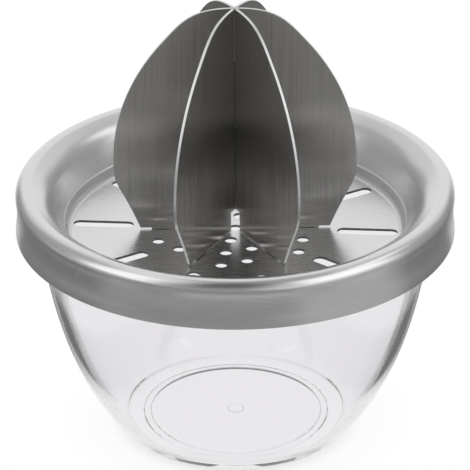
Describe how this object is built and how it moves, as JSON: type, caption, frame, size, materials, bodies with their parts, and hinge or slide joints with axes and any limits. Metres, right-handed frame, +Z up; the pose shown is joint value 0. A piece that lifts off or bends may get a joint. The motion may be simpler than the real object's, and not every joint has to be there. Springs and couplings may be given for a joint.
{
  "type": "citrus juicer",
  "caption": "Hand citrus juicer: finned steel reamer on a perforated drawn steel strainer tray with a broad sloping brim, which lifts off a clear round juice bowl.",
  "frame": {"origin": "middle of the bowl's foot, on the surface that it stands on", "axes": "+Z up along the common axis of bowl, tray and reamer; +X along the reamer's top plate"},
  "size_m": [0.1194, 0.1194, 0.1238],
  "materials": {
    "clear_plastic": "clear, polished mould",
    "satin_steel": "satin, brushed",
    "brushed_plate": "fine upright brushing, bright cut edges"
  },
  "bodies": {
    "bowl": {"bowl": "clear_plastic"},
    "tray": {"strainer_tray": "satin_steel", "top_plate": "brushed_plate", "middle_plate": "brushed_plate", "lower_plate": "brushed_plate"}
  },
  "joints": [
    {"name": "tray_lift", "type": "slide", "parent": "bowl", "child": "tray", "axis": [0, 0, 1], "range_m": [0, 0.09]}
  ]
}
